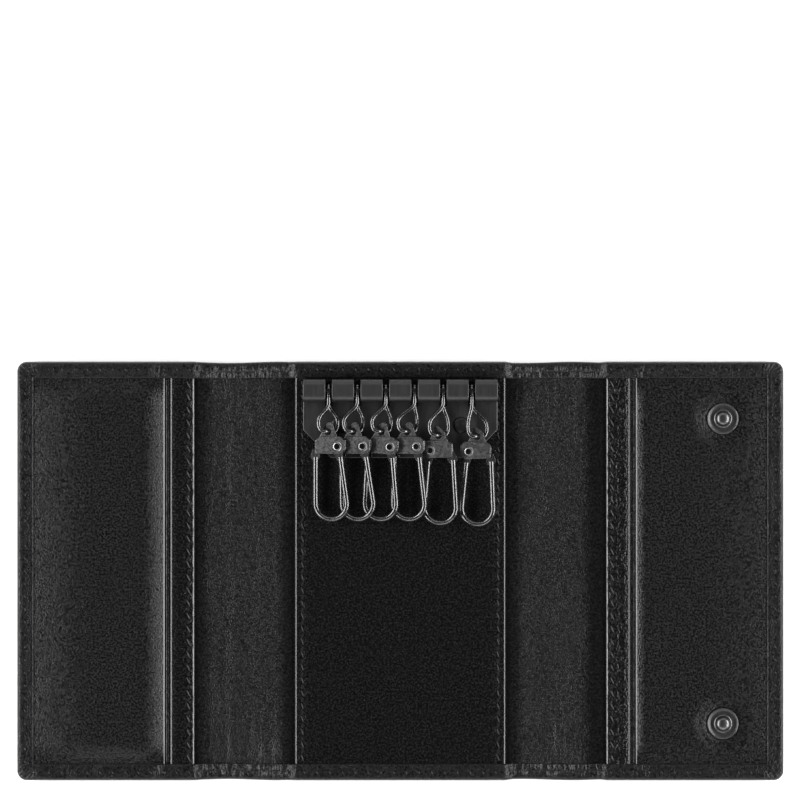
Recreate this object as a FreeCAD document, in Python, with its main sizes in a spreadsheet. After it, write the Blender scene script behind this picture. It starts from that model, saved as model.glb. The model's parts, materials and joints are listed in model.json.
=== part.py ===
import FreeCAD, Part
import math
import os
import Sketcher

doc = FreeCAD.newDocument("key_case")

# Driving sizes in millimetres and degrees
sizes = {
    "case_length": 201.2,
    "case_depth": 110.0,
    "stand": 1.9,
    "cover_sheet": 1.0,
    "lining_sheet": 0.6,
    "panel_sheet": 0.8,
    "hem_width": 4.4,
    "hem_step": 0.8,
    "corner_radius": 2.6,
    "side_clearance": 0.1,
    "fold_gap": 0.24,
    "left_spine": 14.0,
    "left_flap_short": 8.9,
    "right_flap_short": 13.7,
    "panel_margin": 3.8,
    "binding_margin": 3.2,
    "binding_width": 6.5,
    "pocket_groove": 1.5,
    "closing_gap": 0.2,
    "stud_from_end": 15.95,
    "stud_from_side": 15.0,
    "stud_flange": 0.8,
    "stud_radius": 4.1,
    "ball_height": 1.6,
    "ball_radius": 2.1,
    "post_radius": 1.2,
    "snap_radius": 5.0,
    "socket_mouth": 2.5,
    "plate_width": 51.0,
    "plate_depth": 20.6,
    "plate_gap": 0.3,
    "plate_corner": 7.3,
    "plate_sheet": 0.8,
    "roll_width": 5.9,
    "roll_height": 4.8,
    "roll_radius": 1.9,
    "slot_pitch": 7.5,
    "slot_width": 1.7,
    "slot_over": 1.0,
    "rod_radius": 0.6,
    "rivet_x": 16.0,
    "rivet_rise": 8.6,
    "rivet_radius": 2.2,
    "rivet_dome": 0.6,
    "rivet_shank": 1.1,
    "link_wire": 1.1,
    "link_clearance": 0.05,
    "link_drop": 10.75,
    "eye_half": 2.5,
    "eye_rise": 2.2,
    "neck_length": 3.2,
    "hole_height": 5.9,
    "hook_roll": 14.0,
    "hook_pitch": 2.5,
    "hook_1_shift": -0.15,
    "hook_2_shift": -1.05,
    "hook_3_shift": -1.15,
    "hook_4_shift": -1.85,
    "hook_5_shift": -1.15,
    "hook_6_shift": 1.45,
    "hook_5_drop": 1.0,
    "hook_6_drop": 1.3,
    "housing_thickness": 1.4,
    "housing_slot": 0.8,
    "tab_thickness": 0.65,
    "tab_hole": 0.85,
    "pivot_u": 2.5,
    "pivot_v": -3.8,
    "pivot_radius": 1.05,
    "pivot_bore": 0.78,
    "pivot_flange": 1.35,
    "pivot_length": 1.6,
    "pivot_clearance": 0.05,
    "loop_wire": 1.4,
    "loop_flat": 0.7,
    "loop_left": -3.4,
    "loop_right_top": 3.3,
    "loop_right_end": 5.7,
    "loop_bottom": -22.9,
    "loop_corner": 4.1,
    "leg_top": -6.6,
    "latch_half": 1.35,
    "latch_drop": 1.6,
    "latch_rise": 2.0,
}

# Levels of the layers, and the right spine that goes round the closed left flap
inner_level = sizes["cover_sheet"] + sizes["lining_sheet"] + sizes["panel_sheet"]
sizes["inner_level"] = inner_level
sizes["flap_level"] = inner_level + sizes["panel_sheet"]
sizes["right_spine"] = (
    sizes["left_spine"] + inner_level + sizes["stud_flange"] + sizes["stand"] + sizes["closing_gap"]
)

# Length shared out: each flap is as long as the centre less its own shortfall
spines = sizes["left_spine"] + sizes["right_spine"]
shortfalls = sizes["left_flap_short"] + sizes["right_flap_short"]
centre_width = (sizes["case_length"] - spines + shortfalls) / 3
case_end = sizes["case_length"] / 2
sizes["left_edge"] = case_end - (centre_width - sizes["left_flap_short"])
sizes["left_fold"] = sizes["left_edge"] - sizes["left_spine"]
sizes["right_edge"] = case_end - (centre_width - sizes["right_flap_short"])
sizes["right_fold"] = sizes["right_edge"] - sizes["right_spine"]
sizes["panel_half"] = sizes["right_fold"] - sizes["panel_margin"]
sizes["binding_inner"] = sizes["right_edge"] + sizes["binding_margin"]
sizes["binding_outer"] = sizes["binding_inner"] + sizes["binding_width"]
sizes["pocket_edge"] = sizes["binding_outer"] + sizes["pocket_groove"]

# Studs set from the end and sides of the flap, sockets where the closed studs land
sizes["stud_x"] = case_end - sizes["stud_from_end"]
sizes["stud_y"] = sizes["case_depth"] / 2 - sizes["stud_from_side"]
stud_reach = sizes["stud_x"] - sizes["right_edge"]
sizes["socket_x"] = sizes["left_edge"] + sizes["left_fold"] + sizes["right_fold"] - stud_reach

# Hook plate set from the upper hem, rod and rivets set from the plate
sizes["roll_top"] = sizes["case_depth"] / 2 - sizes["hem_width"] - sizes["plate_gap"]
sizes["roll_bottom"] = sizes["roll_top"] - sizes["roll_width"]
sizes["plate_bottom"] = sizes["roll_top"] - sizes["plate_depth"]
sizes["slot_end"] = sizes["roll_bottom"] - sizes["slot_over"]
sizes["rivet_y"] = sizes["plate_bottom"] + sizes["rivet_rise"]
sizes["rod_y"] = (sizes["roll_bottom"] + sizes["roll_top"]) / 2
sizes["rod_height"] = inner_level + sizes["roll_height"] / 2

sheet = doc.addObject("Spreadsheet::Sheet", "Sizes")
for row, (word, value) in enumerate(sizes.items(), 1):
    sheet.set(f"A{row}", word)
    sheet.set(f"B{row}", str(round(value, 6)))
    sheet.setAlias(f"B{row}", word)
doc.recompute()

# Each hook: sway at rest in degrees, turned over
hooks = (
    (0.0, False),
    (1.0, False),
    (-3.5, False),
    (-1.5, False),
    (3.5, True),
    (2.5, True),
)
nodes = []


def keep(thing, label, raised=True):
    thing.Label = label
    if raised:
        thing.setExpression("Placement.Base.z", "Sizes.stand")
    nodes.append(thing)
    return thing


def new_body(label, raised=True):
    return keep(doc.addObject("PartDesign::Body", label), label, raised)


def new_sketch(body, role, lift="0"):
    sketch = body.newObject("Sketcher::SketchObject", body.Name + "_sketch")
    plane = next(f for f in body.Origin.OriginFeatures if f.Role == role)
    sketch.AttachmentSupport = [(plane, "")]
    sketch.MapMode = "FlatFace"
    sketch.setExpression("AttachmentOffset.Base.z", lift)
    return sketch


def bind(sketch, kind, *place, to):
    number = sketch.addConstraint(Sketcher.Constraint(kind, *place, 1.0))
    sketch.setExpression(f"Constraints[{number}]", to)


def draw_polygon(sketch, corners):
    first = sketch.GeometryCount
    count = len(corners)
    turn = 2 * math.pi / count
    spots = [FreeCAD.Vector(math.cos(turn * i), math.sin(turn * i), 0) for i in range(count)]
    for i in range(count):
        sketch.addGeometry(Part.LineSegment(spots[i], spots[(i + 1) % count]), False)
    for i in range(count):
        following = first + (i + 1) % count
        sketch.addConstraint(Sketcher.Constraint("Coincident", first + i, 2, following, 1))
    for i, (across, up) in enumerate(corners):
        bind(sketch, "DistanceX", -1, 1, first + i, 1, to=across)
        bind(sketch, "DistanceY", -1, 1, first + i, 1, to=up)
    return sketch


def draw_rectangle(sketch, left, right, low, high):
    return draw_polygon(sketch, [(left, low), (right, low), (right, high), (left, high)])


def draw_circle(sketch, across, up, radius):
    circle = Part.Circle(FreeCAD.Vector(1, 1, 0), FreeCAD.Vector(0, 0, 1), 1)
    number = sketch.addGeometry(circle, False)
    bind(sketch, "DistanceX", -1, 1, number, 3, to=across)
    bind(sketch, "DistanceY", -1, 1, number, 3, to=up)
    bind(sketch, "Radius", number, to=radius)
    return sketch


def add_pad(body, sketch, length, both_ways=False):
    pad = body.newObject("PartDesign::Pad", body.Name + "_pad")
    pad.Profile = sketch
    pad.setExpression("Length", length)
    if both_ways:
        pad.SideType = "Symmetric"
    return pad


def cut_through(body, sketch):
    pocket = body.newObject("PartDesign::Pocket", body.Name + "_cut")
    pocket.Profile = sketch
    pocket.Type = "ThroughAll"
    pocket.SideType = "Symmetric"
    return pocket


def cut_middle(body, sketch, length):
    pocket = body.newObject("PartDesign::Pocket", body.Name + "_slot")
    pocket.Profile = sketch
    pocket.setExpression("Length", length)
    pocket.SideType = "Symmetric"
    return pocket


def turn_profile(label, corners, raised=True):
    body = new_body(label, raised)
    sketch = draw_polygon(new_sketch(body, "XZ_Plane"), corners)
    turned = body.newObject("PartDesign::Revolution", body.Name + "_turned")
    turned.Profile = sketch
    turned.ReferenceAxis = (sketch, ["V_Axis"])
    turned.Angle = 360
    return body


def round_edges(body, radius, chosen):
    doc.recompute()
    solid = body.Tip
    names = [f"Edge{i}" for i, edge in enumerate(body.Shape.Edges, 1) if chosen(edge)]
    fillet = body.newObject("PartDesign::Fillet", body.Name + "_round")
    fillet.Base = (solid, names)
    fillet.setExpression("Radius", radius)
    return fillet


# Outer cover, one tray per section: sheet, upright rim and turned-over hem
half_depth = "Sizes.case_depth / 2"
half_length = "Sizes.case_length / 2"
rim_inside = half_depth + " - Sizes.cover_sheet"
hem_inside = half_depth + " - Sizes.hem_width"


def open_zone(body, start, end, level, under):
    side = [
        (half_depth, level),
        (hem_inside, level),
        (hem_inside, under),
        (rim_inside, under),
        (rim_inside, "Sizes.cover_sheet"),
    ]
    other = [(f"-({across})", up) for across, up in reversed(side)]
    corners = [(f"-({half_depth})", "0"), (half_depth, "0")] + side + other
    sketch = draw_polygon(new_sketch(body, "YZ_Plane", start), corners)
    add_pad(body, sketch, f"{end} - ({start})")


def end_zone(body, start, end, inside):
    sketch = new_sketch(body, "YZ_Plane", start)
    draw_rectangle(sketch, f"-({half_depth})", half_depth, "0", "Sizes.flap_level")
    add_pad(body, sketch, f"{end} - ({start})")
    round_edges(body, "Sizes.corner_radius", at_outer_corner)
    sketch = new_sketch(body, "YZ_Plane", inside)
    draw_rectangle(sketch, f"-({rim_inside})", rim_inside, "Sizes.cover_sheet", "Sizes.inner_level")
    pocket = body.newObject("PartDesign::Pocket", body.Name + "_room")
    pocket.Profile = sketch
    pocket.setExpression("Length", "Sizes.hem_width - Sizes.cover_sheet")


def at_outer_corner(edge):
    reach_x = sizes["case_length"] / 2
    reach_y = sizes["case_depth"] / 2
    at_corner = all(
        abs(abs(v.X) - reach_x) < 1e-4 and abs(abs(v.Y) - reach_y) < 1e-4 for v in edge.Vertexes
    )
    return at_corner and edge.Length < reach_y


def snap_holes(body, across, radius):
    sketch = new_sketch(body, "XY_Plane")
    for up in ("Sizes.stud_y", "-Sizes.stud_y"):
        draw_circle(sketch, across, up, radius)
    cut_through(body, sketch)


gap = "Sizes.fold_gap / 2"
lip_start = half_length + " - Sizes.hem_width"
wall_start = half_length + " - Sizes.cover_sheet"
post_hole = "Sizes.post_radius + Sizes.side_clearance"

high = "Sizes.flap_level"
low = "Sizes.inner_level"
on_lining = "Sizes.cover_sheet + Sizes.lining_sheet"
centre_step = "Sizes.panel_half + Sizes.hem_step"
flap_step = "Sizes.binding_inner - Sizes.hem_step"

cover = new_body("outer_cover_centre")
open_zone(cover, "-Sizes.panel_half", "Sizes.panel_half", high, low)
open_zone(cover, f"-({centre_step})", "-Sizes.panel_half", high, on_lining)
open_zone(cover, f"-Sizes.left_fold + {gap}", f"-({centre_step})", low, on_lining)
open_zone(cover, "Sizes.panel_half", centre_step, high, on_lining)
open_zone(cover, centre_step, f"Sizes.right_fold - {gap}", low, on_lining)

cover = new_body("outer_cover_left_spine")
open_zone(cover, f"-Sizes.left_edge + {gap}", f"-Sizes.left_fold - {gap}", low, on_lining)

cover = new_body("outer_cover_right_spine")
open_zone(cover, f"Sizes.right_fold + {gap}", f"Sizes.right_edge - {gap}", low, on_lining)

cover = new_body("outer_cover_left_flap")
end_zone(cover, f"-({half_length})", f"-({lip_start})", f"-({lip_start})")
open_zone(cover, f"-({lip_start})", "-Sizes.binding_inner", high, low)
open_zone(cover, "-Sizes.binding_inner", f"-({flap_step})", high, on_lining)
open_zone(cover, f"-({flap_step})", f"-Sizes.left_edge - {gap}", low, on_lining)
snap_holes(cover, "-Sizes.socket_x", post_hole)

cover = new_body("outer_cover_right_flap")
end_zone(cover, lip_start, half_length, wall_start)
open_zone(cover, "Sizes.binding_inner", lip_start, high, low)
open_zone(cover, flap_step, "Sizes.binding_inner", high, on_lining)
open_zone(cover, f"Sizes.right_edge + {gap}", flap_step, low, on_lining)
snap_holes(cover, "Sizes.stud_x", post_hole)

# Flat leather layers under the hem
layer_half = rim_inside + " - Sizes.side_clearance"
layer_end = wall_start + " - Sizes.side_clearance"


def lay_sheet(label, start, end, lift, thickness, holes=()):
    body = new_body(label)
    sketch = new_sketch(body, "XY_Plane", lift)
    draw_rectangle(sketch, start, end, f"-({layer_half})", layer_half)
    for across, up, radius in holes:
        draw_circle(sketch, across, up, radius)
    add_pad(body, sketch, thickness)
    return body


def in_pairs(across, radius):
    return [(across, "Sizes.stud_y", radius), (across, "-Sizes.stud_y", radius)]


rivet_hole = "Sizes.rivet_shank"
rivet_holes = [
    ("Sizes.rivet_x", "Sizes.rivet_y", rivet_hole),
    ("-Sizes.rivet_x", "Sizes.rivet_y", rivet_hole),
]
on_cover = "Sizes.cover_sheet"
lining = "Sizes.lining_sheet"
panel = "Sizes.panel_sheet"
lay_sheet(
    "centre_lining",
    f"-Sizes.left_fold + {gap}",
    f"Sizes.right_fold - {gap}",
    on_cover,
    lining,
    rivet_holes,
)
lay_sheet(
    "left_spine_gusset", f"-Sizes.left_edge + {gap}", f"-Sizes.left_fold - {gap}", on_cover, lining
)
lay_sheet(
    "right_spine_gusset", f"Sizes.right_fold + {gap}", f"Sizes.right_edge - {gap}", on_cover, lining
)
lay_sheet(
    "left_flap_lining",
    f"-({layer_end})",
    f"-Sizes.left_edge - {gap}",
    on_cover,
    lining,
    in_pairs("-Sizes.socket_x", "Sizes.stud_radius + Sizes.side_clearance"),
)
lay_sheet(
    "right_flap_lining",
    f"Sizes.right_edge + {gap}",
    layer_end,
    on_cover,
    lining,
    in_pairs("Sizes.stud_x", post_hole),
)
panel_side = "Sizes.panel_half - Sizes.side_clearance"
lay_sheet("centre_panel", f"-({panel_side})", panel_side, on_lining, panel, rivet_holes)
lay_sheet("left_pocket_panel", f"-({layer_end})", "-Sizes.pocket_edge", on_lining, panel)
lay_sheet(
    "right_pocket_panel",
    "Sizes.pocket_edge",
    layer_end,
    on_lining,
    panel,
    in_pairs("Sizes.stud_x", post_hole),
)
binding_start = "Sizes.binding_inner + Sizes.side_clearance"
lay_sheet("left_pocket_binding", "-Sizes.binding_outer", f"-({binding_start})", on_lining, panel)
lay_sheet("right_pocket_binding", binding_start, "Sizes.binding_outer", on_lining, panel)

# Snap fasteners: studs and caps on the right flap, sockets and eyelets on the left
post_top = "Sizes.flap_level + 0.3"
for word, up in (("upper", "Sizes.stud_y"), ("lower", "-Sizes.stud_y")):
    stud = turn_profile(
        f"{word}_snap_stud",
        [
            ("Sizes.post_radius", "Sizes.inner_level"),
            ("Sizes.stud_radius", "Sizes.inner_level"),
            ("Sizes.stud_radius", "Sizes.inner_level + Sizes.stud_flange * 0.55"),
            ("Sizes.stud_radius - 0.5", "Sizes.inner_level + Sizes.stud_flange"),
            ("Sizes.ball_radius - 0.3", "Sizes.inner_level + Sizes.stud_flange"),
            ("Sizes.ball_radius", "Sizes.flap_level + Sizes.ball_height * 0.45"),
            ("Sizes.ball_radius - 0.1", "Sizes.flap_level + Sizes.ball_height * 0.7"),
            ("Sizes.ball_radius - 0.5", "Sizes.flap_level + Sizes.ball_height * 0.93"),
            ("Sizes.ball_radius - 1.1", "Sizes.flap_level + Sizes.ball_height"),
            ("0", "Sizes.flap_level + Sizes.ball_height"),
            ("0", post_top),
            ("Sizes.post_radius", post_top),
        ],
    )
    cap = turn_profile(
        f"{word}_snap_cap",
        [
            ("0", "-Sizes.stand"),
            ("Sizes.snap_radius * 0.5", "-Sizes.stand"),
            ("Sizes.snap_radius * 0.8", "-Sizes.stand * 0.75"),
            ("Sizes.snap_radius", "-Sizes.stand * 0.25"),
            ("Sizes.snap_radius", "0"),
            ("Sizes.post_radius", "0"),
            ("Sizes.post_radius", post_top),
            ("0", post_top),
        ],
    )
    for piece in (stud, cap):
        piece.setExpression("Placement.Base.x", "Sizes.stud_x")
        piece.setExpression("Placement.Base.y", up)
    socket = turn_profile(
        f"{word}_snap_socket",
        [
            ("Sizes.post_radius", "0"),
            ("Sizes.snap_radius", "0"),
            ("Sizes.snap_radius", "-Sizes.stand * 0.3"),
            ("Sizes.snap_radius * 0.8", "-Sizes.stand * 0.6"),
            ("Sizes.snap_radius * 0.74", "-Sizes.stand"),
            ("Sizes.socket_mouth", "-Sizes.stand"),
            ("Sizes.socket_mouth", "-0.3"),
            ("Sizes.post_radius", "-0.3"),
        ],
    )
    eyelet = turn_profile(
        f"{word}_socket_eyelet",
        [
            ("Sizes.post_radius - 0.4", "-0.3"),
            ("Sizes.post_radius", "-0.3"),
            ("Sizes.post_radius", "Sizes.cover_sheet"),
            ("Sizes.stud_radius", "Sizes.cover_sheet"),
            ("Sizes.stud_radius", "Sizes.cover_sheet + Sizes.lining_sheet"),
            ("Sizes.post_radius - 0.4", "Sizes.cover_sheet + Sizes.lining_sheet"),
        ],
    )
    for piece in (socket, eyelet):
        piece.setExpression("Placement.Base.x", "-Sizes.socket_x")
        piece.setExpression("Placement.Base.y", up)

# Hook plate: sheet with cut-off lower corners and a rolled top edge split into knuckles
plate = new_body("hook_plate")
plate_half = "Sizes.plate_width / 2"
sketch = draw_polygon(
    new_sketch(plate, "XY_Plane", "Sizes.inner_level"),
    [
        (f"-{plate_half} + Sizes.plate_corner", "Sizes.plate_bottom"),
        (f"{plate_half} - Sizes.plate_corner", "Sizes.plate_bottom"),
        (plate_half, "Sizes.plate_bottom + Sizes.plate_corner"),
        (plate_half, "Sizes.roll_top - 1"),
        (f"-{plate_half}", "Sizes.roll_top - 1"),
        (f"-{plate_half}", "Sizes.plate_bottom + Sizes.plate_corner"),
    ],
)
add_pad(plate, sketch, "Sizes.plate_sheet")
roll_upper = "Sizes.inner_level + Sizes.roll_height"
sketch = draw_rectangle(
    new_sketch(plate, "YZ_Plane"), "Sizes.roll_bottom", "Sizes.roll_top", "Sizes.inner_level", roll_upper
)
add_pad(plate, sketch, "Sizes.plate_width", both_ways=True)


def along_roll(edge):
    high = sizes["inner_level"] + sizes["roll_height"]
    return all(abs(v.Z - high - sizes["stand"]) < 1e-4 for v in edge.Vertexes) and edge.Length > sizes["plate_width"] / 2


round_edges(plate, "Sizes.roll_radius", along_roll)
cut_through(plate, draw_circle(new_sketch(plate, "YZ_Plane"), "Sizes.rod_y", "Sizes.rod_height", "Sizes.rod_radius"))
sketch = new_sketch(plate, "XY_Plane")
for i in range(len(hooks)):
    middle = f"{i - (len(hooks) - 1) / 2} * Sizes.slot_pitch"
    draw_rectangle(
        sketch,
        f"{middle} - Sizes.slot_width / 2",
        f"{middle} + Sizes.slot_width / 2",
        "Sizes.slot_end",
        "Sizes.roll_top + 1",
    )
cut_through(plate, sketch)
sketch = new_sketch(plate, "XY_Plane")
for across, up, radius in rivet_holes:
    draw_circle(sketch, across, up, radius)
cut_through(plate, sketch)

rod = keep(doc.addObject("Part::Cylinder", "hook_rod"), "hook_rod", raised=False)
rod.setExpression("Radius", "Sizes.rod_radius")
rod.setExpression("Height", "Sizes.plate_width")
rod.Placement.Rotation = FreeCAD.Rotation(FreeCAD.Vector(0, 1, 0), 90)
rod.setExpression("Placement.Base.x", "-Sizes.plate_width / 2")
rod.setExpression("Placement.Base.y", "Sizes.rod_y")
rod.setExpression("Placement.Base.z", "Sizes.rod_height + Sizes.stand")

plate_top = "Sizes.inner_level + Sizes.plate_sheet"
for word, across in (("left", "-Sizes.rivet_x"), ("right", "Sizes.rivet_x")):
    rivet = turn_profile(
        f"{word}_plate_rivet",
        [
            ("0", "Sizes.cover_sheet"),
            ("Sizes.rivet_shank", "Sizes.cover_sheet"),
            ("Sizes.rivet_shank", plate_top),
            ("Sizes.rivet_radius", plate_top),
            ("Sizes.rivet_radius * 0.92", f"{plate_top} + Sizes.rivet_dome * 0.4"),
            ("Sizes.rivet_radius * 0.7", f"{plate_top} + Sizes.rivet_dome * 0.75"),
            ("Sizes.rivet_radius * 0.35", f"{plate_top} + Sizes.rivet_dome * 0.96"),
            ("0", f"{plate_top} + Sizes.rivet_dome"),
        ],
    )
    rivet.setExpression("Placement.Base.x", across)
    rivet.setExpression("Placement.Base.y", "Sizes.rivet_y")


# Wire link: one half of the bent wire, from the tab hole to the top of the rod
def link_half(reach, ring_u, turned):
    wire_radius = sizes["link_wire"] / 2
    ring = sizes["rod_radius"] + sizes["link_clearance"] + wire_radius
    half = sizes["eye_half"]
    rise = sizes["eye_rise"]
    neck = reach - sizes["neck_length"]
    side = neck - rise

    def bend(*spots):
        curve = Part.BezierCurve()
        curve.setPoles([FreeCAD.Vector(across, up, ring) for across, up in spots])
        return curve.toShape()

    edges = [
        Part.Arc(
            FreeCAD.Vector(0, 0, 0),
            FreeCAD.Vector(-ring + ring * math.cos(math.pi / 4), 0, ring * math.sin(math.pi / 4)),
            FreeCAD.Vector(-ring, 0, ring),
        ).toShape(),
        bend((-ring, 0), (-ring - (half - ring) * 0.55, 0), (-half, rise * 0.45), (-half, rise)),
        bend((-half, rise), (-half, rise + side * 0.5), (ring_u, neck - side * 0.4), (ring_u, neck)),
        Part.makeLine(FreeCAD.Vector(ring_u, neck, ring), FreeCAD.Vector(ring_u, reach, ring)),
        Part.Arc(
            FreeCAD.Vector(ring_u, reach, ring),
            FreeCAD.Vector(
                ring_u, reach + ring * math.sin(math.pi / 4), ring * math.cos(math.pi / 4)
            ),
            FreeCAD.Vector(ring_u, reach + ring, 0),
        ).toShape(),
    ]
    circle = Part.makeCircle(wire_radius, FreeCAD.Vector(0, 0, 0), FreeCAD.Vector(0, 0, 1))
    solid = Part.Wire(edges).makePipe(Part.Face(Part.Wire(circle)))
    if turned:
        solid.rotate(FreeCAD.Vector(0, 0, 0), FreeCAD.Vector(0, 1, 0), 180)
    return solid


# Housing: folded sheet around a slot, with a thin tab that the link passes through
def make_housing(label):
    body = new_body(label, raised=False)
    shell = [
        ("-3.4", "-5.75"),
        ("3.2", "-5.75"),
        ("4.2", "-5.3"),
        ("4.6", "-4.4"),
        ("4.6", "-2.2"),
        ("3.4", "-1.2"),
        ("-2", "-1.2"),
        ("-3.4", "-2.4"),
    ]
    add_pad(
        body, draw_polygon(new_sketch(body, "XY_Plane"), shell), "Sizes.housing_thickness", both_ways=True
    )
    tab = [
        ("-2.4", "-1.5"),
        ("2.6", "-1.5"),
        ("1.7", "0.7"),
        ("1.4", "2"),
        ("0.7", "2.55"),
        ("0", "2.4"),
        ("-0.9", "1.7"),
        ("-1.7", "0.7"),
        ("-1.8", "-0.4"),
    ]
    add_pad(body, draw_polygon(new_sketch(body, "XY_Plane"), tab), "Sizes.tab_thickness", both_ways=True)
    slot = draw_rectangle(new_sketch(body, "XY_Plane"), "-5", "6", "-7", "-2")
    cut_middle(body, slot, "Sizes.housing_slot")
    sketch = new_sketch(body, "XY_Plane")
    draw_circle(sketch, "0", "0", "Sizes.tab_hole")
    draw_circle(sketch, "Sizes.pivot_u", "Sizes.pivot_v", "Sizes.pivot_radius")
    cut_through(body, sketch)
    return body


def make_pivot(label):
    half = "Sizes.pivot_length / 2"
    shell = "Sizes.housing_thickness / 2"
    return turn_profile(
        label,
        [
            ("Sizes.pivot_bore", f"-{half}"),
            ("Sizes.pivot_flange", f"-{half}"),
            ("Sizes.pivot_flange", f"-{shell}"),
            ("Sizes.pivot_radius", f"-{shell}"),
            ("Sizes.pivot_radius", shell),
            ("Sizes.pivot_flange", shell),
            ("Sizes.pivot_flange", half),
            ("Sizes.pivot_bore", half),
        ],
        raised=False,
    )


# Loop: round wire bent to a U, with a flat latch end and a flat end with an eye
def corner_arc(before, corner, after, radius):
    back = (before - corner).normalize()
    ahead = (after - corner).normalize()
    half_angle = math.acos(max(-1, min(1, back.dot(ahead)))) / 2
    cut = radius / math.tan(half_angle)
    middle = (back + ahead).normalize()
    deep = radius / math.sin(half_angle) - radius
    return corner + back * cut, corner + middle * deep, corner + ahead * cut


def make_loop(label):
    body = new_body(label, raised=False)
    start = FreeCAD.Vector(sizes["loop_left"], sizes["leg_top"], 0)
    low_left = FreeCAD.Vector(sizes["loop_left"], sizes["loop_bottom"], 0)
    low_right = FreeCAD.Vector(sizes["loop_right_end"], sizes["loop_bottom"], 0)
    end = FreeCAD.Vector(sizes["loop_right_top"], sizes["leg_top"], 0)
    lean = math.atan2(low_right.x - end.x, end.y - low_right.y)
    widest = (low_right.x - low_left.x) / (1 + 1 / math.tan(math.pi / 4 - lean / 2))
    corner = min(sizes["loop_corner"], widest * 0.98)
    first = corner_arc(start, low_left, low_right, corner)
    second = corner_arc(low_left, low_right, end, corner)
    path = new_sketch(body, "XY_Plane")
    path.addGeometry(Part.LineSegment(start, first[0]), False)
    path.addGeometry(Part.Arc(*first), False)
    path.addGeometry(Part.LineSegment(first[2], second[0]), False)
    path.addGeometry(Part.Arc(*second), False)
    path.addGeometry(Part.LineSegment(second[2], end), False)
    ring = new_sketch(body, "XZ_Plane", "-Sizes.leg_top")
    draw_circle(ring, "Sizes.loop_left", "0", "Sizes.loop_wire / 2")
    doc.recompute()
    pipe = body.newObject("PartDesign::AdditivePipe", body.Name + "_wire")
    pipe.Profile = ring
    pipe.Spine = (path, [f"Edge{i}" for i in range(1, 6)])
    latch = [
        ("Sizes.loop_left", "Sizes.leg_top - Sizes.latch_drop"),
        ("Sizes.loop_left + Sizes.latch_half", "Sizes.leg_top"),
        ("Sizes.loop_left + Sizes.latch_half / 2", "Sizes.leg_top + Sizes.latch_rise"),
        ("Sizes.loop_left - Sizes.latch_half / 2", "Sizes.leg_top + Sizes.latch_rise"),
        ("Sizes.loop_left - Sizes.latch_half", "Sizes.leg_top"),
    ]
    add_pad(body, draw_polygon(new_sketch(body, "XY_Plane"), latch), "Sizes.loop_flat", both_ways=True)
    strap = [
        ("Sizes.loop_right_top - 0.65", "Sizes.leg_top - 1"),
        ("Sizes.loop_right_top + 0.9", "Sizes.leg_top - 1"),
        ("Sizes.pivot_u + 1.45", "Sizes.pivot_v"),
        ("Sizes.pivot_u + 1", "Sizes.pivot_v + 1.2"),
        ("Sizes.pivot_u", "Sizes.pivot_v + 1.55"),
        ("Sizes.pivot_u - 1", "Sizes.pivot_v + 1.2"),
        ("Sizes.pivot_u - 1.5", "Sizes.pivot_v"),
        ("Sizes.pivot_u - 1.1", "Sizes.pivot_v - 1.2"),
    ]
    add_pad(body, draw_polygon(new_sketch(body, "XY_Plane"), strap), "Sizes.loop_flat", both_ways=True)
    eye = new_sketch(body, "XY_Plane")
    draw_circle(eye, "Sizes.pivot_u", "Sizes.pivot_v", "Sizes.pivot_radius + Sizes.pivot_clearance")
    cut_through(body, eye)
    return body


for i, (sway, over) in enumerate(hooks, 1):
    slot_u = -sizes[f"hook_{i}_shift"]
    across = (i - (len(hooks) + 1) / 2) * sizes["slot_pitch"] - slot_u
    drop = sizes["link_drop"] + sizes.get(f"hook_{i}_drop", 0)
    hole = FreeCAD.Vector(across, sizes["rod_y"] - drop, sizes["hole_height"] + sizes["stand"])
    to_rod_y = sizes["rod_y"] - hole.y
    to_rod_z = sizes["rod_height"] + sizes["stand"] - hole.z
    reach = math.hypot(to_rod_y, to_rod_z)
    link = keep(doc.addObject("Part::Feature", f"hook_{i}_link"), f"hook_{i}_link", raised=False)
    front = link_half(reach, slot_u, False)
    link.Shape = front.fuse(link_half(reach, -slot_u, True)).removeSplitter()
    lean = math.degrees(math.atan2(to_rod_z, to_rod_y))
    link.Placement = FreeCAD.Placement(hole, FreeCAD.Rotation(FreeCAD.Vector(1, 0, 0), lean))
    turn = FreeCAD.Rotation(FreeCAD.Vector(1, 0, 0), sizes["hook_pitch"])
    turn = turn * FreeCAD.Rotation(FreeCAD.Vector(0, 1, 0), -sizes["hook_roll"])
    turn = turn * FreeCAD.Rotation(FreeCAD.Vector(0, 0, 1), sway)
    if over:
        turn = turn * FreeCAD.Rotation(FreeCAD.Vector(0, 1, 0), 180)
    place = FreeCAD.Placement(hole, turn)
    make_housing(f"hook_{i}_housing").Placement = place
    at_pivot = FreeCAD.Vector(sizes["pivot_u"], sizes["pivot_v"], 0)
    make_pivot(f"hook_{i}_rivet").Placement = place * FreeCAD.Placement(at_pivot, FreeCAD.Rotation())
    make_loop(f"hook_{i}_loop").Placement = place

# Check and write every piece
doc.recompute()
for thing in doc.Objects:
    if "Invalid" in thing.State or "Error" in thing.State:
        raise RuntimeError(f"{thing.Label} is in state {thing.State}")
os.makedirs("parts", exist_ok=True)
for piece in nodes:
    if piece.Shape.isNull() or not piece.Shape.isValid():
        raise RuntimeError(f"{piece.Label} has no valid shape")
    piece.Shape.exportStep(f"parts/{piece.Label}.step")
    print(piece.Label, len(piece.Shape.Solids), round(piece.Shape.Volume, 3))
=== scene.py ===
import json
import math

import bmesh
import bpy
from mathutils import Matrix, Vector, noise

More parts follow.
